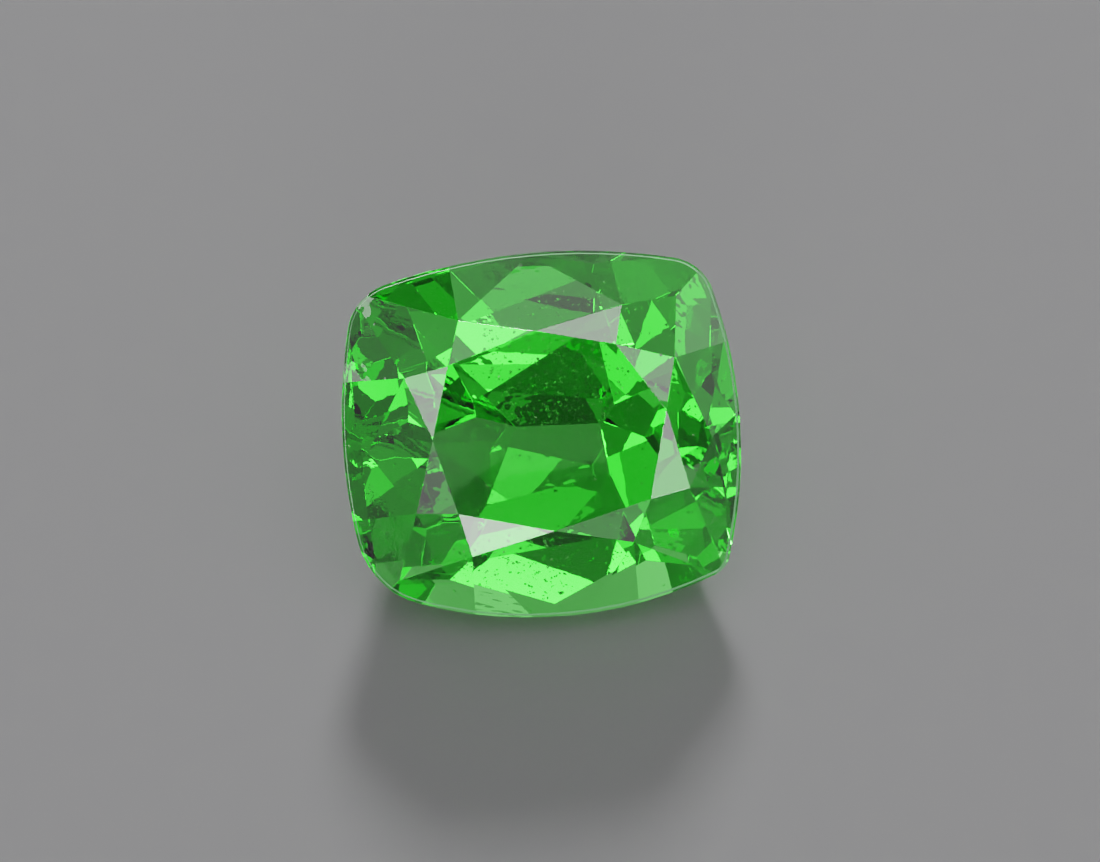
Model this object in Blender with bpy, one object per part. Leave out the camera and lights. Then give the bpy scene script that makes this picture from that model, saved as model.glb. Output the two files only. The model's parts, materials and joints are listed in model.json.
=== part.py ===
"""Tsavorite garnet: one loose faceted stone, a cushion with a brilliant crown and a stepped pavilion.

Blender 4.5, metres, +Z up. The stone is cut facet by facet from a cushion-shaped preform in its
own frame, with the table on top, the girdle at height 0 and its length along x. It is then laid
on the wide lower pavilion facet, which is how a loose stone of this cut comes to rest.
"""

import math

import bmesh
import bpy
from mathutils import Matrix, Vector

STONE_NAME = "tsavorite"
MILLIMETRE = 0.001

# Girdle outline, in millimetres. The four sides are shallow arcs between these corners, and each
# corner is rounded by its own radius, because the stone was cut by hand and no two are alike.
# Counter-clockwise from the back right corner, each with the bulge of the side that follows it.
OUTLINE_CORNERS = ((2.82, 2.58), (-2.91, 2.48), (-3.00, -2.31), (2.85, -2.48))
SIDE_BULGES = (0.44, 0.33, 0.63, 0.41)
CORNER_RADII = (0.80, 0.90, 1.42, 0.37)
SIDE_STEPS = 12
CORNER_STEPS = 7
GIRDLE_THICKNESS = 0.12

# Crown, in millimetres. The table has eight corners, and a star facet runs from each of its edges
# out to a tip. The kite facets and the upper girdle facets are the planes through those points.
# Counter-clockwise from the back left corner, as x and y, and with the height for the star tips.
TABLE_HEIGHT = 1.12
TABLE_CORNERS = (
    (-1.52, 1.33),
    (-1.86, 0.15),
    (-1.54, -1.08),
    (0.01, -1.49),
    (1.60, -1.10),
    (1.96, 0.33),
    (1.22, 1.46),
    (-0.08, 1.78),
)
STAR_TIPS = (
    (-2.23, 1.17, 0.86),
    (-2.21, -1.05, 0.86),
    (-1.36, -1.83, 0.87),
    (1.28, -1.81, 0.90),
    (2.27, -0.99, 0.93),
    (2.17, 1.15, 0.92),
    (1.38, 2.07, 0.86),
    (-1.29, 2.03, 0.90),
)
# Where the kites reach the girdle, and where the upper girdle facets break between them, as
# degrees around the stone from +x.
KITE_BEARINGS = (139, 183, 221, 270, 318, 2, 42, 90)
BREAK_BEARINGS = (161, 200, 245, 295, 340, 22, 66, 115)

# Pavilion, in millimetres: three tiers of steps that end in a keel. Each tier is a plane that
# runs from its reach at one depth to its reach at the next.
STEP_DEPTHS = (1.01, 2.37)
KEEL_DEPTH = 3.17
KEEL_ENDS = {"back": 0.0, "front": 0.0, "right": 1.07, "left": 1.30}
SIDE_BEARINGS = {"back": 90, "front": 270, "right": 0, "left": 180}
UPPER_REACH = {"back": 2.49, "front": 2.48, "right": 2.78, "left": 2.85}
LOWER_REACH = {"back": 1.08, "front": 1.03, "right": 1.88, "left": 2.09}
# Cut by hand, the steps are not quite square to the sides: degrees that each one is turned by.
MIDDLE_TURN = {"back": 5, "front": 0, "right": -7, "left": 4}
KEEL_TURN = {"back": -3, "front": -2, "right": 6, "left": 5}
# The top tier is split in two on each side, turned this many degrees apart from the middle, and
# its halves end this much further out than the step below them begins.
SPLIT_TURN = {"back": 9, "front": 12, "right": 9, "left": 8}
SPLIT_OVERHANG = 0.02
CORNER_BEARINGS = {"back_right": 53, "back_left": 139, "front_left": 234, "front_right": 311}
CORNER_UPPER_REACH = {"back_right": 2.78, "back_left": 2.96, "front_left": 3.24, "front_right": 2.98}
CORNER_LOWER_REACH = {"back_right": 1.51, "back_left": 1.59, "front_left": 1.33, "front_right": 1.55}

# The sharp front right corner is blunted by one tiny facet on the girdle's upper edge: its bearing
# and lean from upright in degrees, and how far in it starts, in millimetres.
BLUNTED_BEARING = 317
BLUNTED_LEAN = 55
BLUNTED_DEPTH = 0.06

GARNET_GREEN = (0.02, 0.36, 0.03, 1.0)
GARNET_IOR = 1.74


def clear_scene():
    for obj in list(bpy.data.objects):
        bpy.data.objects.remove(obj, do_unlink=True)


def side_circle(start, end, bulge):
    """Centre and radius of the arc from start to end that stands out by bulge at its middle."""
    chord = end - start
    outward = Vector((chord.y, -chord.x)).normalized()
    radius = (chord.length_squared / 4 + bulge * bulge) / (2 * bulge)
    return (start + end) / 2 - outward * (radius - bulge), radius


def fillet_centre(first, second, fillet, corner):
    """Centre of the corner's circle, which touches both side circles from inside."""
    (centre_a, radius_a), (centre_b, radius_b) = first, second
    reach_a = radius_a - fillet
    reach_b = radius_b - fillet
    between = centre_b - centre_a
    along = (reach_a**2 - reach_b**2 + between.length_squared) / (2 * between.length)
    across = math.sqrt(reach_a**2 - along**2)
    foot = centre_a + between.normalized() * along
    sideways = Vector((-between.y, between.x)).normalized() * across
    return min(foot + sideways, foot - sideways, key=lambda point: (point - corner).length)


def arc_points(centre, start, end, steps):
    """Points from start towards end, turning counter-clockwise, the end left out."""
    first = start - centre
    turn = first.angle_signed(end - centre) * -1
    return [centre + Matrix.Rotation(turn * i / steps, 2) @ first for i in range(steps)]


def girdle_outline():
    """The cushion outline as a closed ring of points: each corner's arc, then the side after it."""
    corners = [Vector(point) for point in OUTLINE_CORNERS]
    count = len(corners)
    circles = [
        side_circle(corners[i], corners[(i + 1) % count], SIDE_BULGES[i]) for i in range(count)
    ]
    fillets = []
    for i, corner in enumerate(corners):
        before, after = circles[i - 1], circles[i]
        centre = fillet_centre(before, after, CORNER_RADII[i], corner)
        entry = centre + (centre - before[0]).normalized() * CORNER_RADII[i]
        leave = centre + (centre - after[0]).normalized() * CORNER_RADII[i]
        fillets.append((centre, entry, leave))
    ring = []
    for i, (centre, entry, leave) in enumerate(fillets):
        ring += arc_points(centre, entry, leave, CORNER_STEPS)
        ring += arc_points(circles[i][0], leave, fillets[(i + 1) % count][1], SIDE_STEPS)
    return ring


def outline_at(ring, bearing):
    """The point of the outline in this direction from the middle, bearing in degrees from +x."""
    aim = Vector((math.cos(math.radians(bearing)), math.sin(math.radians(bearing))))
    for start, end in zip(ring, ring[1:] + ring[:1]):
        edge = end - start
        facing = aim.cross(edge)
        if abs(facing) < 1e-9:
            continue
        share = start.cross(aim) / facing
        point = start + edge * share
        if 0 <= share <= 1 and point.dot(aim) > 0:
            return point
    raise ValueError(f"the outline has no point at {bearing} degrees")


def reach_of(ring, bearing):
    """How far the outline reaches in this direction, as a caliper would measure it."""
    aim = Vector((math.cos(math.radians(bearing)), math.sin(math.radians(bearing))))
    return max(point.dot(aim) for point in ring)


def preform(ring):
    """The rough shape that the facets are cut from: the outline as a tall straight-sided block."""
    curve = bpy.data.curves.new("preform", "CURVE")
    curve.dimensions = "2D"
    curve.fill_mode = "BOTH"
    curve.extrude = KEEL_DEPTH + TABLE_HEIGHT
    spline = curve.splines.new("POLY")
    spline.points.add(len(ring) - 1)
    for point, place in zip(spline.points, ring):
        point.co = (place.x, place.y, 0.0, 1.0)
    spline.use_cyclic_u = True
    block = bpy.data.objects.new("preform", curve)
    bpy.context.scene.collection.objects.link(block)
    graph = bpy.context.evaluated_depsgraph_get()
    mesh = bpy.data.meshes.new_from_object(block.evaluated_get(graph))
    bpy.data.objects.remove(block, do_unlink=True)
    bpy.data.curves.remove(curve)
    solid = bmesh.new()
    solid.from_mesh(mesh)
    bpy.data.meshes.remove(mesh)
    bmesh.ops.remove_doubles(solid, verts=solid.verts, dist=1e-4)
    return solid


def cut_facet(solid, point, normal):
    """Grinds away everything beyond the plane and closes the stone with the new flat facet."""
    geometry = solid.verts[:] + solid.edges[:] + solid.faces[:]
    cut = bmesh.ops.bisect_plane(
        solid, geom=geometry, dist=1e-5, plane_co=point, plane_no=normal, clear_outer=True
    )
    rim = [item for item in cut["geom_cut"] if isinstance(item, bmesh.types.BMEdge) and item.is_boundary]
    if rim:
        bmesh.ops.edgeloop_fill(solid, edges=rim)


def cut_through(solid, first, second, third):
    """A crown facet through three points, facing up."""
    normal = (second - first).cross(third - first).normalized()
    cut_facet(solid, first, normal if normal.z > 0 else -normal)


def cut_step(solid, bearing, upper, lower):
    """A pavilion facet that faces a bearing and runs from one (reach, depth) down to the next."""
    aim = Vector((math.cos(math.radians(bearing)), math.sin(math.radians(bearing)), 0.0))
    (upper_reach, upper_depth), (lower_reach, lower_depth) = upper, lower
    tilt = math.atan2(lower_depth - upper_depth, upper_reach - lower_reach)
    normal = aim * math.sin(tilt) - Vector((0.0, 0.0, math.cos(tilt)))
    cut_facet(solid, aim * upper_reach - Vector((0.0, 0.0, upper_depth)), normal)
    return tilt


def cut_crown(solid, ring):
    table = [Vector((x, y, TABLE_HEIGHT)) for x, y in TABLE_CORNERS]
    tips = [Vector(tip) for tip in STAR_TIPS]
    count = len(table)
    rim = GIRDLE_THICKNESS / 2
    kites = [outline_at(ring, bearing).to_3d() + Vector((0, 0, rim)) for bearing in KITE_BEARINGS]
    breaks = [outline_at(ring, bearing).to_3d() + Vector((0, 0, rim)) for bearing in BREAK_BEARINGS]
    cut_facet(solid, table[0], Vector((0.0, 0.0, 1.0)))
    for i in range(count):
        cut_through(solid, table[i], tips[i - 1], tips[i])
    for i in range(count):
        cut_through(solid, table[i], table[(i + 1) % count], tips[i])
    for i in range(count):
        cut_through(solid, tips[i], kites[i], breaks[i])
        cut_through(solid, tips[i], kites[(i + 1) % count], breaks[i])


def blunt_corner(solid, ring):
    aim = Vector((math.cos(math.radians(BLUNTED_BEARING)), math.sin(math.radians(BLUNTED_BEARING)), 0.0))
    lean = math.radians(BLUNTED_LEAN)
    start = aim * (reach_of(ring, BLUNTED_BEARING) - BLUNTED_DEPTH)
    start.z = GIRDLE_THICKNESS / 2
    cut_facet(solid, start, aim * math.sin(lean) + Vector((0.0, 0.0, math.cos(lean))))


def cut_pavilion(solid, ring):
    """Cuts the three tiers and gives back the tilt of the front middle step, the resting facet."""
    rim = GIRDLE_THICKNESS / 2
    upper_depth, lower_depth = STEP_DEPTHS
    tilts = {}
    for side, bearing in SIDE_BEARINGS.items():
        upper = (UPPER_REACH[side], upper_depth)
        lower = (LOWER_REACH[side], lower_depth)
        tilts[side] = cut_step(solid, bearing + MIDDLE_TURN[side], upper, lower)
        cut_step(solid, bearing + KEEL_TURN[side], lower, (KEEL_ENDS[side], KEEL_DEPTH))
        for turn in (-SPLIT_TURN[side], SPLIT_TURN[side]):
            turned = bearing + turn
            reach = UPPER_REACH[side] * math.cos(math.radians(turn)) + SPLIT_OVERHANG
            cut_step(solid, turned, (reach_of(ring, turned), rim), (reach, upper_depth))
    for corner, bearing in CORNER_BEARINGS.items():
        upper = (CORNER_UPPER_REACH[corner], upper_depth)
        cut_step(solid, bearing, (reach_of(ring, bearing), rim), upper)
        cut_step(solid, bearing, upper, (CORNER_LOWER_REACH[corner], lower_depth))
    return tilts["front"]


def garnet_material():
    """Clear green garnet: light passes through, bent by the stone's own refractive index."""
    material = bpy.data.materials.new("grossular_garnet")
    material.use_nodes = True
    shader = material.node_tree.nodes["Principled BSDF"]
    shader.inputs["Base Color"].default_value = GARNET_GREEN
    shader.inputs["Metallic"].default_value = 0.0
    shader.inputs["Roughness"].default_value = 0.02
    shader.inputs["IOR"].default_value = GARNET_IOR
    shader.inputs["Transmission Weight"].default_value = 1.0
    material.diffuse_color = GARNET_GREEN
    return material


def lay_down(mesh, tilt):
    """Turns the stone onto its resting facet, in metres, with the origin under its middle."""
    mesh.transform(Matrix.Rotation(tilt, 4, "X") @ Matrix.Scale(MILLIMETRE, 4))
    places = [vertex.co.copy() for vertex in mesh.vertices]
    low = Vector(min(place[axis] for place in places) for axis in range(3))
    high = Vector(max(place[axis] for place in places) for axis in range(3))
    mesh.transform(Matrix.Translation((-(low.x + high.x) / 2, -(low.y + high.y) / 2, -low.z)))


def build_stone():
    ring = girdle_outline()
    solid = preform(ring)
    cut_crown(solid, ring)
    blunt_corner(solid, ring)
    resting_tilt = cut_pavilion(solid, ring)
    bmesh.ops.remove_doubles(solid, verts=solid.verts, dist=1e-3)
    bmesh.ops.recalc_face_normals(solid, faces=solid.faces)
    mesh = bpy.data.meshes.new(STONE_NAME)
    solid.to_mesh(mesh)
    solid.free()
    lay_down(mesh, resting_tilt)
    mesh.materials.append(garnet_material())
    stone = bpy.data.objects.new(STONE_NAME, mesh)
    collection = bpy.data.collections.new("tsavorite_garnet")
    bpy.context.scene.collection.children.link(collection)
    collection.objects.link(stone)
    return stone


clear_scene()
build_stone()
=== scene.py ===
import json
import math

import bmesh
import bpy
import numpy as np
from mathutils import Matrix, Vector


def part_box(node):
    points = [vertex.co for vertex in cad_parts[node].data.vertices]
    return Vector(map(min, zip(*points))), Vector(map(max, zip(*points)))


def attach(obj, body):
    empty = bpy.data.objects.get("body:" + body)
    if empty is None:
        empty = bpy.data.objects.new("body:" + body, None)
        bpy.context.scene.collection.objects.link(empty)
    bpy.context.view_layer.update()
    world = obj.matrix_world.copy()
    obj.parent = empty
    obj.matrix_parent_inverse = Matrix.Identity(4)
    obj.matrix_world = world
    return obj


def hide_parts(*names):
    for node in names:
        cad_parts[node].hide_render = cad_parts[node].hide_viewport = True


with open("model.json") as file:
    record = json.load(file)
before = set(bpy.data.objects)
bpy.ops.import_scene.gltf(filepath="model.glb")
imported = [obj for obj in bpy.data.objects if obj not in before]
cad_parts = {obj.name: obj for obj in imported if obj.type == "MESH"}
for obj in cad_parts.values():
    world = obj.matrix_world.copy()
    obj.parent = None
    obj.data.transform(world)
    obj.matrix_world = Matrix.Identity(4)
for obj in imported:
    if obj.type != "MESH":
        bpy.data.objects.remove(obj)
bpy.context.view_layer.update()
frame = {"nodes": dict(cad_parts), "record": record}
mm = 0.001


def hexColour(code):
    # sRGB hex to the linear values that a shader socket holds
    parts = [int(code[i:i + 2], 16) / 255 for i in (1, 3, 5)]
    linear = [part / 12.92 if part <= 0.04045 else ((part + 0.055) / 1.055) ** 2.4 for part in parts]
    return (*linear, 1.0)


def addNode(tree, kind, settings=None, links=None):
    # settings: socket or node property to value; links: socket to the output that feeds it
    node = tree.nodes.new(kind)
    for name, value in (settings or {}).items():
        if name in node.inputs:
            node.inputs[name].default_value = value
        else:
            setattr(node, name, value)
    for name, output in (links or {}).items():
        tree.links.new(output, node.inputs[name])
    return node


def newMaterial(name):
    material = bpy.data.materials.new(name)
    material.use_nodes = True
    material.node_tree.nodes.clear()
    return material, material.node_tree


def meshObject(name, vertices, faces):
    mesh = bpy.data.meshes.new(name)
    mesh.from_pydata(vertices, [], faces)
    mesh.update()
    thing = bpy.data.objects.new(name, mesh)
    bpy.context.scene.collection.objects.link(thing)
    return thing


def ringPoints(count):
    # count points on a unit circle in the XY plane, at (cos t, sin t, 0)
    turns = np.linspace(0, 2 * np.pi, count, endpoint=False)
    return np.stack([np.cos(turns), np.sin(turns), np.zeros(count)], axis=1)


def direction(azimuth, elevation):
    # unit vector: azimuth in degrees counter-clockwise from +X, elevation above the card
    turn, rise = math.radians(azimuth), math.radians(elevation)
    return Vector((math.cos(turn) * math.cos(rise), math.sin(turn) * math.cos(rise), math.sin(rise)))


garnet = {
    "ior": 1.74,  # grossular
    "bodyColour": "#55ED42",  # what is left of white light after one absorption length
    "absorptionLengthMm": 2.0,
    "polishRoughness": 0.0,
    "polishWaveMm": 0.3,
    "polishWaveDetail": 1.0,
    "polishWaveHeightMm": 0.0006,
    # the pale green of the band just inside the crown's rim, a painted highlight line
    "paintedHighlightColour": "#90E898",
    "highlightBandClearness": 0.5,  # the rest of the light is scattered by the rough band
    "highlightBandRoughness": 0.35,
    "bandGrainMm": 0.02,
    "bandGrainDetail": 2.0,
    "bandGrainDepthMm": 0.004,
    "bandGrainStrength": 0.3,
}


def crystalVolume(tree, settings):
    # Vanadium in the crystal takes out red and blue evenly all through, so a long path is deep green.
    density = 1 / (settings["absorptionLengthMm"] * mm)
    return addNode(
        tree,
        "ShaderNodeVolumeAbsorption",
        {"Color": hexColour(settings["bodyColour"]), "Density": density},
    )


def polishedGarnet(settings):
    # Grossular garnet polished with fine diamond on a lap: mirror facets, much stronger reflections
    # than window glass has, and a green that deepens with the light's way through the crystal. The
    # lap leaves each facet wavy by less than a micron, which bends the edges of the flashes a little.
    material, tree = newMaterial("garnet_polished")
    place = addNode(tree, "ShaderNodeTexCoord")
    waves = addNode(
        tree,
        "ShaderNodeTexNoise",
        {"Scale": 1 / (settings["polishWaveMm"] * mm), "Detail": settings["polishWaveDetail"]},
        {"Vector": place.outputs["Object"]},
    )
    bump = addNode(
        tree,
        "ShaderNodeBump",
        {"Distance": settings["polishWaveHeightMm"] * mm},
        {"Height": waves.outputs["Fac"]},
    )
    surface = addNode(
        tree,
        "ShaderNodeBsdfPrincipled",
        {
            "Base Color": hexColour("#FFFFFF"),
            "Roughness": settings["polishRoughness"],
            "IOR": settings["ior"],
            "Transmission Weight": 1.0,
        },
        {"Normal": bump.outputs["Normal"]},
    )
    inside = crystalVolume(tree, settings)
    addNode(
        tree,
        "ShaderNodeOutputMaterial",
        links={"Surface": surface.outputs["BSDF"], "Volume": inside.outputs["Volume"]},
    )
    return material


def highlightBandGarnet(settings):
    # A band of rough, pale green finish just inside the crown's rim, whose pale colour is a painted
    # highlight: it draws the pale line there, and frosts the steep nick at the sharp corner.
    material, tree = newMaterial("garnet_painted_highlight_band")
    place = addNode(tree, "ShaderNodeTexCoord")
    bandGrain = addNode(
        tree,
        "ShaderNodeTexNoise",
        {"Scale": 1 / (settings["bandGrainMm"] * mm), "Detail": settings["bandGrainDetail"]},
        {"Vector": place.outputs["Object"]},
    )
    bump = addNode(
        tree,
        "ShaderNodeBump",
        {"Strength": settings["bandGrainStrength"], "Distance": settings["bandGrainDepthMm"] * mm},
        {"Height": bandGrain.outputs["Fac"]},
    )
    surface = addNode(
        tree,
        "ShaderNodeBsdfPrincipled",
        {
            "Base Color": hexColour(settings["paintedHighlightColour"]),
            "Roughness": settings["highlightBandRoughness"],
            "IOR": settings["ior"],
            "Transmission Weight": settings["highlightBandClearness"],
        },
        {"Normal": bump.outputs["Normal"]},
    )
    inside = crystalVolume(tree, settings)
    addNode(
        tree,
        "ShaderNodeOutputMaterial",
        links={"Surface": surface.outputs["BSDF"], "Volume": inside.outputs["Volume"]},
    )
    return material


stone = {
    "node": "tsavorite",
    "edgeRoundingMm": 0.004,
    "edgeSegments": 2,
    "roundedAboveDegrees": 14,
    "highlightBandMm": (0.032, 0.056),  # the painted pale highlight line lies this far in from the crown's rim
    "highlightBandWiderMm": 0.016,  # wider by this towards the lower right in the picture, where the painted highlight line is brighter
    "brighterLineSide": (0.8, -0.6),  # how far to the right, and how far to the top
    "flatDegrees": 0.2,  # neighbours closer than this are one facet
    "girdleUprightness": 0.02,  # a girdle face's normal is square to the table's axis, to this cosine
    "steepestCrownSlope": 0.6,  # the frosted nick at the sharp corner is steeper than any crown facet
    "mergedMm": 0.0002,
    "cutToleranceMm": 0.0001,
    "sliverMm": 0.0005,  # shorter edges that the cuts leave are merged away
}


def tableNormal():
    for mount in frame["record"]["mounts"]:
        if mount["name"] == "table":
            return Vector(mount["axis"])


def joinFacets(shape, settings):
    # neighbours in one plane and of one finish become one facet
    bmesh.ops.dissolve_limit(
        shape,
        angle_limit=math.radians(settings["flatDegrees"]),
        verts=shape.verts,
        edges=shape.edges,
        delimit={"MATERIAL"},
    )


def cutCrown(shape, planes, upright, settings):
    # cuts the crown's faces, and no others, by each plane
    for place, outward in planes:
        crown = [face for face in shape.faces if face.normal.dot(upright) > settings["girdleUprightness"]]
        edges = dict.fromkeys(edge for face in crown for edge in face.edges)
        corners = dict.fromkeys(vertex for face in crown for vertex in face.verts)
        bmesh.ops.bisect_plane(
            shape,
            geom=[*corners, *edges, *crown],
            dist=settings["cutToleranceMm"] * mm,
            plane_co=place,
            plane_no=outward,
        )


def isBeyond(point, planes):
    return any((point - place).dot(outward) > 0 for place, outward in planes)


def buildStone(settings):
    # The CAD stone with its triangles joined into whole facets, a hairline band for the painted pale
    # highlight marked along the crown's rim, and each edge rounded as polish leaves it. A plane parallel
    # to each of the girdle's flat strips, a little further in, makes either side of the hairline.
    shape = bmesh.new()
    shape.from_mesh(frame["nodes"][settings["node"]].data)
    bmesh.ops.remove_doubles(shape, verts=shape.verts, dist=settings["mergedMm"] * mm)
    joinFacets(shape, settings)
    bmesh.ops.recalc_face_normals(shape, faces=shape.faces)
    upright = tableNormal()
    brighterSide = Vector((1, 0, 0)) * settings["brighterLineSide"][0]
    brighterSide += upright.cross(Vector((1, 0, 0))) * settings["brighterLineSide"][1]
    outer, inner = [], []
    for wall in shape.faces:
        if abs(wall.normal.dot(upright)) < settings["girdleUprightness"]:
            start, end = settings["highlightBandMm"]
            end += settings["highlightBandWiderMm"] * wall.normal.dot(brighterSide)
            for planes, depth in ((outer, start), (inner, end)):
                planes.append((wall.calc_center_median() - wall.normal * depth * mm, wall.normal.copy()))
    cutCrown(shape, outer + inner, upright, settings)

    # the girdle is polished too; only the painted pale highlight line and the steep nick at the sharp
    # corner are rough
    for face in shape.faces:
        middle, slope = face.calc_center_median(), face.normal.dot(upright)
        isNick = settings["girdleUprightness"] < slope < settings["steepestCrownSlope"]
        isHighlightLine = slope > 0 and isBeyond(middle, inner) and not isBeyond(middle, outer)
        face.material_index = int(isNick or isHighlightLine)
    bmesh.ops.remove_doubles(shape, verts=shape.verts, dist=settings["sliverMm"] * mm)
    joinFacets(shape, settings)
    bmesh.ops.dissolve_degenerate(shape, dist=settings["sliverMm"] * mm, edges=shape.edges)
    shape.verts.index_update()
    vertices = [tuple(vertex.co) for vertex in shape.verts]
    faces = [[vertex.index for vertex in face.verts] for face in shape.faces]
    finishes = [face.material_index for face in shape.faces]
    shape.free()

    piece = meshObject("tsavorite_stone", vertices, faces)
    piece.data.materials.append(polishedGarnet(garnet))
    piece.data.materials.append(highlightBandGarnet(garnet))
    piece.data.polygons.foreach_set("material_index", finishes)
    rounding = piece.modifiers.new("edge_rounding", "BEVEL")
    rounding.width = settings["edgeRoundingMm"] * mm
    rounding.segments = settings["edgeSegments"]
    rounding.use_clamp_overlap = False  # else the girdle's shortest edge would hold it back everywhere
    rounding.limit_method = "ANGLE"
    rounding.angle_limit = math.radians(settings["roundedAboveDegrees"])
    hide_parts(settings["node"])
    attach(piece, "root")


specks = {
    "seed": 5,
    "strewn": 160,  # tried anywhere in the stone's box
    "keptDepthMm": 0.12,  # no grain lies nearer to a facet
    "halfWidthMm": (0.010, 0.028),
    "sides": 6,
    "thickness": 0.45,  # of the half width, to either side
    "taper": 0.8,  # the upper ring's width over the lower's
    "stretch": (0.6, 1.4),
    "veils": (
        # middle, half width and half length along the table's plane, how many are tried
        ((0.4, 1.45, 2.0), (1.1, 0.8), 300),
        ((-0.6, -1.6, 1.2), (0.9, 0.45), 60),
    ),
    "veilSagMm": 0.3,
    "veilSpreadMm": 0.06,
    "pale": "#E4EEDC",
    "dull": "#9DB08C",
    "tonePatchMm": 0.3,
    "clearness": 0.65,
    "iorInGarnet": 0.94,  # apatite's 1.63 over the garnet's 1.74
    "roughness": 0.3,
}


def apatiteMaterial(settings):
    # Grains of other minerals that grew with the garnet, mostly apatite: pale, half-clear little plates
    # that bend light the other way from the crystal round them.
    material, tree = newMaterial("apatite_grains")
    place = addNode(tree, "ShaderNodeTexCoord")
    tone = addNode(
        tree,
        "ShaderNodeTexNoise",
        {"Scale": 1 / (settings["tonePatchMm"] * mm)},
        {"Vector": place.outputs["Object"]},
    )
    colour = addNode(
        tree,
        "ShaderNodeMix",
        {"data_type": "RGBA", "A": hexColour(settings["dull"]), "B": hexColour(settings["pale"])},
        {"Factor": tone.outputs["Fac"]},
    )
    surface = addNode(
        tree,
        "ShaderNodeBsdfPrincipled",
        {
            "Roughness": settings["roughness"],
            "IOR": settings["iorInGarnet"],
            "Transmission Weight": settings["clearness"],
        },
        {"Base Color": colour.outputs["Result"]},
    )
    addNode(tree, "ShaderNodeOutputMaterial", links={"Surface": surface.outputs["BSDF"]})
    return material


def buildSpecks(settings):
    # Grains strewn through the stone, and others on its healed cracks. Each crack is a shallow dish
    # at middle + a*u + b*v + sag*(u*u + v*v). Grains too near a facet are left out.
    chance = np.random.default_rng(settings["seed"])
    low, high = (np.array(corner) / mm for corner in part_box(stone["node"]))
    upright = np.array(tableNormal())
    sideways = np.array((1.0, 0.0, 0.0))
    forward = np.cross(upright, sideways)
    middles = [low + chance.random((settings["strewn"], 3)) * (high - low)]
    for middle, (across, along), tried in settings["veils"]:
        u, v = chance.uniform(-1, 1, (2, tried, 1))
        dish = np.array(middle) + sideways * across * u + forward * along * v
        dish = dish + upright * settings["veilSagMm"] * (u * u + v * v)
        middles.append(dish + chance.normal(0, settings["veilSpreadMm"], (tried, 3)))
    middles = np.concatenate(middles)

    mesh = frame["nodes"][stone["node"]].data
    normals = np.empty(len(mesh.polygons) * 3)
    centres = np.empty(len(mesh.polygons) * 3)
    mesh.polygons.foreach_get("normal", normals)
    mesh.polygons.foreach_get("center", centres)
    normals, centres = normals.reshape(-1, 3), centres.reshape(-1, 3) / mm
    outside = middles @ normals.T - (normals * centres).sum(1)
    middles = middles[outside.max(1) < -settings["keptDepthMm"]]
    count = len(middles)

    # each grain is a six-sided plate: two rings at plus and minus its thickness, turned at random
    sides = settings["sides"]
    lift = np.repeat([[0, 0, -1], [0, 0, 1]], sides, axis=0) * settings["thickness"]
    plate = np.concatenate([ringPoints(sides), ringPoints(sides) * settings["taper"]]) + lift
    frames = np.linalg.qr(chance.normal(size=(count, 3, 3)))[0]
    frames[:, :, 2] *= np.sign(np.linalg.det(frames))[:, None]
    small, large = settings["halfWidthMm"]
    sizes = small + (large - small) * chance.random(count) ** 2  # small ones are the commonest
    stretch = chance.uniform(*settings["stretch"], (count, 1, 3))
    points = (plate * stretch * sizes[:, None, None]) @ frames.transpose(0, 2, 1) + middles[:, None, :]
    start, turn = np.arange(count)[:, None] * 2 * sides, np.arange(sides)
    after = (turn + 1) % sides
    walls = np.stack([start + turn, start + after, start + after + sides, start + turn + sides], axis=2)
    faces = walls.reshape(-1, 4).tolist()
    faces += (start + turn[::-1]).tolist() + (start + sides + turn).tolist()
    piece = meshObject("mineral_specks", (points.reshape(-1, 3) * mm).tolist(), faces)
    piece.data.materials.append(apatiteMaterial(settings))
    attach(piece, "root")
    print(count, "specks in the stone")


board = {
    "colour": "#727272",
    "fibreColour": "#6D6D6F",
    "fibreMm": 0.4,
    "fibreDetail": 3.0,
    "roughness": 0.95,
    "gloss": 0.1,
    "halfWidth": 1.5,  # metres
    "airFilmMm": 0.02,  # under the resting facet, which mirrors from inside only where it touches air
}


def cardMaterial(settings):
    # Matt coated paper card: next to no gloss, and a faint fibre mottle in its grey.
    material, tree = newMaterial("coated_grey_card")
    place = addNode(tree, "ShaderNodeTexCoord")
    fibre = addNode(
        tree,
        "ShaderNodeTexNoise",
        {"Scale": 1 / (settings["fibreMm"] * mm), "Detail": settings["fibreDetail"]},
        {"Vector": place.outputs["Object"]},
    )
    colour = addNode(
        tree,
        "ShaderNodeMix",
        {
            "data_type": "RGBA",
            "A": hexColour(settings["colour"]),
            "B": hexColour(settings["fibreColour"]),
        },
        {"Factor": fibre.outputs["Fac"]},
    )
    surface = addNode(
        tree,
        "ShaderNodeBsdfPrincipled",
        {"Roughness": settings["roughness"], "Specular IOR Level": settings["gloss"]},
        {"Base Color": colour.outputs["Result"]},
    )
    addNode(tree, "ShaderNodeOutputMaterial", links={"Surface": surface.outputs["BSDF"]})
    return material


def buildBoard(settings):
    # One flat sheet, a hair below the stone, which rests on grains of dust as a real one does.
    half, low = settings["halfWidth"], -settings["airFilmMm"] * mm
    corners = [(-half, -half, low), (half, -half, low), (half, half, low), (-half, half, low)]
    plane = meshObject("studio_board", corners, [(0, 1, 2, 3)])
    plane.data.materials.append(cardMaterial(settings))


camera = {
    "lensMm": 180,
    "sensorMm": 36,
    "pixelsPerMm": 61.0,
    "girdleMiddleMm": (0.02, -0.155, 2.433),
    "girdleMiddlePixel": (543, 433.5),
    "imageSize": (1100, 862),
    "aboveTableDegrees": 5.5,
    "turnDegrees": 6.0,
    "clipMm": (5, 5000),
}


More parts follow.
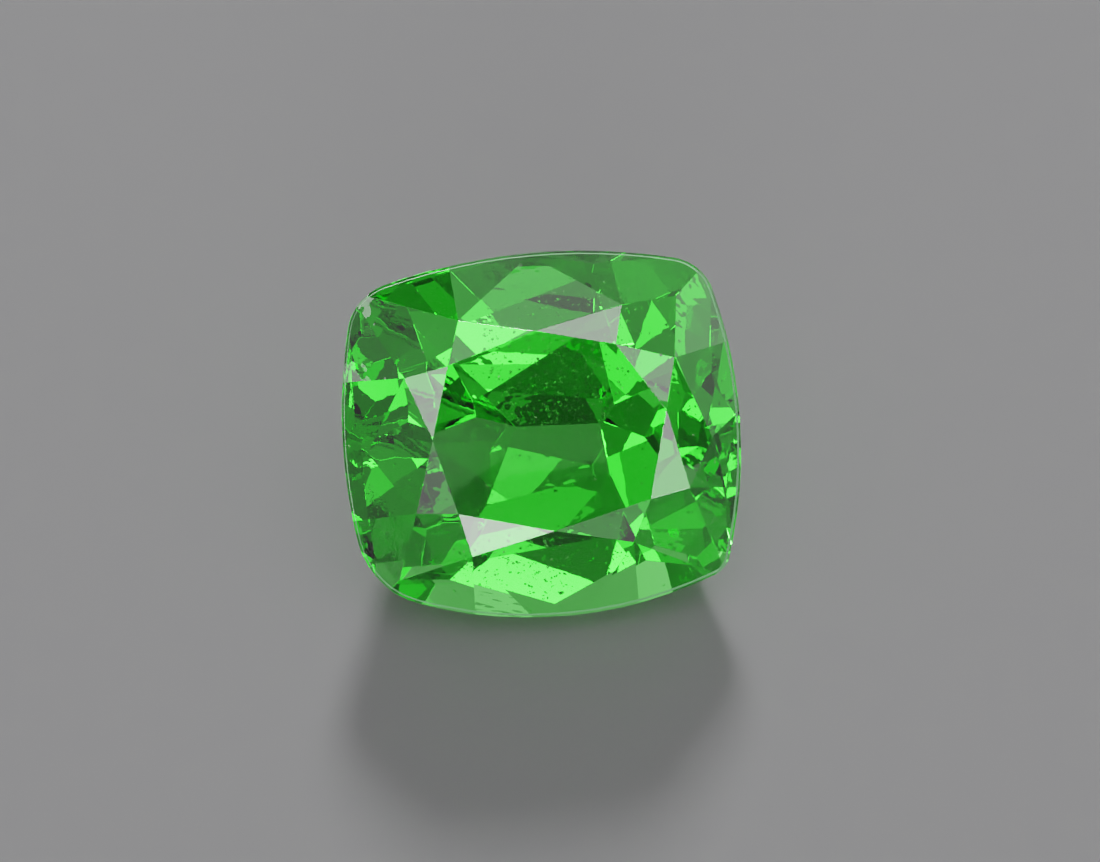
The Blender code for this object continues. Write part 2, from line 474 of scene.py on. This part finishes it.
def buildCamera(settings):
    # Looks nearly square at the table, with the girdle's middle on its own pixel of the frame.
    lean = math.degrees(math.atan2(-tableNormal().y, tableNormal().z))
    elevation = 90 - lean + settings["aboveTableDegrees"]
    towards = direction(-90 - settings["turnDegrees"], elevation)
    right = Vector((0, 0, 1)).cross(towards).normalized()
    up = towards.cross(right)
    width, height = settings["imageSize"]
    px, py = settings["girdleMiddlePixel"]
    aim = Vector(settings["girdleMiddleMm"]) + (
        right * (width / 2 - px) - up * (height / 2 - py)
    ) / settings["pixelsPerMm"]
    distance = width / settings["pixelsPerMm"] * settings["lensMm"] / settings["sensorMm"]
    lens = bpy.data.cameras.new("macro_lens")
    lens.lens = settings["lensMm"]
    lens.sensor_width = settings["sensorMm"]
    lens.clip_start, lens.clip_end = (reach * mm for reach in settings["clipMm"])
    holder = bpy.data.objects.new("macro_camera", lens)
    holder.matrix_world = (
        Matrix.Translation((aim + towards * distance) * mm)
        @ Matrix((right, up, towards)).transposed().to_4x4()
    )
    bpy.context.scene.collection.objects.link(holder)
    bpy.context.scene.camera = holder
    return towards


# each soft box: azimuth, elevation and width in degrees as the stone sees it, then its radiance
lights = {
    "distance": 0.5,  # metres
    "boxes": {
        "top_star_box": (-6.2, 75.1, 17.2, 4.5),
        "left_star_box": (-143.1, 39.8, 13.2, 4.4),
        "right_star_box": (-49.3, 23.5, 18, 3.5),
        "bottom_star_box": (-95.8, 0.5, 12.8, 8.8),
        "middle_front_1": (-67.8, 35.5, 15.8, 12.6),
        "middle_front_2": (-69.6, 49.5, 9.1, 3.5),
        "low_left_1": (-179.7, 9.2, 17.2, 1.9),
        "low_back_1": (92, 14.8, 20.5, 2.3),
        "high_back_1": (82.8, 63.8, 19.9, 0.6),
        "low_front_1": (-132.7, 19.8, 19.3, 0.7),
        "low_front_2": (-78.4, 18.2, 11.4, 0.9),
        "low_right_1": (14.4, 14.7, 18.2, 0.6),
        "low_left_2": (-162.2, 16.2, 9.1, 22.1),
        "middle_front_3": (-125.3, 54.8, 16, 7),
        "middle_back_1": (112.8, 27, 14.1, 0.8),
        "middle_right_1": (-22.9, 50.8, 16.7, 2.5),
        "low_back_2": (72.5, 16.7, 8.1, 0.8),
        "middle_left_1": (-157.1, 50.7, 7.4, 2.1),
        "low_front_3": (-71.8, 3.9, 17, 0.6),
        "low_left_3": (-157.2, 5.3, 9.5, 12.7),
        "middle_front_4": (-115.8, 27.9, 4.7, 13),
        "middle_front_5": (-122.3, 32.1, 5.1, 12.2),
        "middle_left_2": (165.3, 45.2, 7.5, 3.1),
        "low_front_4": (-50.5, 8.3, 10.9, 14.5),
        "low_left_4": (154.6, 14.6, 17.5, 3.1),
        "middle_right_2": (-31.4, 27.1, 9.2, 15.9),
        "low_left_5": (-137.3, 5.2, 5.9, 12.3),
        "low_back_3": (113.9, 17.1, 4.4, 39.6),
        "middle_back_2": (63.6, 32.9, 11.9, 2.3),
        "low_back_4": (67.2, 7.1, 7.8, 39.6),
        "middle_left_3": (-177, 42.6, 11.4, 39.6),
        "middle_front_6": (-51.9, 42.5, 4.6, 0.7),
        "middle_front_7": (-114.8, 40.1, 6.8, 39.6),
        "middle_left_4": (-169, 36.6, 3.3, 1.1),
        "high_back_2": (108.6, 79.7, 13.3, 39.6),
        "middle_back_3": (113.8, 52.1, 10.8, 39.6),
        "high_front_1": (-70.8, 60.2, 11.7, 0.9),
        "high_left_1": (-146.9, 80.7, 9, 1.1),
        "overhead_fill": (-90, 85, 60, 1.1),
        "back_key": (84, 32, 10, 185.0),
        "front_low_fill": (-96, 6, 40, 6.0),
    },
    "forDullSurfaces": ("overhead_fill", "back_key", "front_low_fill"),
}


def buildLights(settings):
    # A disc's energy is its radiance times pi times its area. Dull surfaces, the card above all, have
    # lamps of their own, so that one soft shadow falls on the card. The small boxes are seen in the
    # polished facets alone.
    for name, (azimuth, elevation, width, radiance) in settings["boxes"].items():
        lamp = bpy.data.lights.new(name, "AREA")
        lamp.shape = "DISK"
        lamp.size = 2 * settings["distance"] * math.tan(math.radians(width / 2))
        lamp.energy = radiance * math.pi * math.pi * lamp.size**2 / 4
        holder = bpy.data.objects.new(name, lamp)
        towards = direction(azimuth, elevation)
        holder.location = towards * settings["distance"]
        holder.rotation_mode = "QUATERNION"
        holder.rotation_quaternion = towards.to_track_quat("Z", "Y")
        forDull = name in settings["forDullSurfaces"]
        holder.visible_diffuse = forDull
        holder.visible_glossy = not forDull
        holder.visible_transmission = not forDull
        bpy.context.scene.collection.objects.link(holder)


room = {
    "dim": 0.2,
    "bright": 0.7,
    "patches": 1.6,
    "detail": 7.0,
    "fineness": 0.68,
    "noiseRange": (0.3, 0.7),  # of the noise, whose ends go to dim and bright
}


def buildRoom(settings):
    # The rest of the studio, out of focus: pale walls and gaps between them, soft from one to the next.
    world = bpy.data.worlds.new("studio_room")
    world.use_nodes = True
    tree = world.node_tree
    tree.nodes.clear()
    place = addNode(tree, "ShaderNodeTexCoord")
    patches = addNode(
        tree,
        "ShaderNodeTexNoise",
        {
            "Scale": settings["patches"],
            "Detail": settings["detail"],
            "Roughness": settings["fineness"],
        },
        {"Vector": place.outputs["Generated"]},
    )
    level = addNode(
        tree,
        "ShaderNodeMapRange",
        {
            "From Min": settings["noiseRange"][0],
            "From Max": settings["noiseRange"][1],
            "To Min": settings["dim"],
            "To Max": settings["bright"],
            "interpolation_type": "SMOOTHSTEP",
        },
        {"Value": patches.outputs["Fac"]},
    )
    glow = addNode(
        tree,
        "ShaderNodeBackground",
        {"Color": hexColour("#FFFFFF")},
        {"Strength": level.outputs["Result"]},
    )
    addNode(tree, "ShaderNodeOutputWorld", links={"Surface": glow.outputs["Background"]})
    bpy.context.scene.world = world


# grey felt cards in front of the stone: azimuth, elevation and width in degrees as the stone sees them
shades = {
    "distance": 0.3,  # metres
    "colour": "#525252",
    "corners": 48,
    "cameraWidth": 7,
    "flagWidth": 12,
    "screens": {
        "low_right_screen_1": (-14, 21.3, 5.5),
        "low_right_screen_2": (-7.8, 5.8, 3.3),
        "middle_front_screen_1": (-104.3, 25.3, 8.3),
        "middle_back_screen_1": (113.4, 42.9, 4.8),
        "middle_front_screen_2": (-87.2, 25.6, 5.5),
        "high_left_screen_1": (176.3, 65.7, 13.3),
    },
}


def feltMaterial(settings):
    # Grey wool felt: no gloss, so that the facets see an even dark patch with no rim light on it.
    material, tree = newMaterial("grey_felt")
    surface = addNode(
        tree,
        "ShaderNodeBsdfPrincipled",
        {"Base Color": hexColour(settings["colour"]), "Roughness": 1.0},
    )
    addNode(tree, "ShaderNodeOutputMaterial", links={"Surface": surface.outputs["BSDF"]})
    return material


def buildShade(name, towards, width, felt, settings):
    # A round card that faces the stone, as far off as the others, its rim at radius*(cos t, sin t).
    radius = settings["distance"] * math.tan(math.radians(width / 2))
    facing = np.array(towards.to_track_quat("Z", "Y").to_matrix())
    points = ringPoints(settings["corners"]) * radius @ facing.T
    points += np.array(towards) * settings["distance"]
    card = meshObject(name, points.tolist(), [list(range(settings["corners"]))])
    card.data.materials.append(felt)


def buildShades(settings, towards):
    # The camera's own dark front, a flag where the table mirrors the camera to, since with the pale
    # room there the crystal under the table looks milky, and screens that make its dark patches.
    felt = feltMaterial(settings)
    upright = tableNormal()
    buildShade("camera_front", towards, settings["cameraWidth"], felt, settings)
    mirrored = upright * (2 * upright.dot(towards)) - towards
    buildShade("table_flag", mirrored, settings["flagWidth"], felt, settings)
    for name, (azimuth, elevation, width) in settings["screens"].items():
        buildShade(name, direction(azimuth, elevation), width, felt, settings)


# light that turns many corners inside the crystal still has to get out
lightPath = {"max_bounces": 24, "glossy_bounces": 16, "transmission_bounces": 16}

bpy.context.scene.view_settings.view_transform = "Filmic"  # flashes pale gently, as in the photo
bpy.context.scene.cycles.denoising_input_passes = "RGB"  # a clear stone's albedo pass is only noise
for limit, bounces in lightPath.items():
    setattr(bpy.context.scene.cycles, limit, bounces)

buildStone(stone)
buildSpecks(specks)
print("stone ready")
buildBoard(board)
towards = buildCamera(camera)
buildShades(shades, towards)
print("card and camera ready")
buildLights(lights)
buildRoom(room)
print("lights ready")
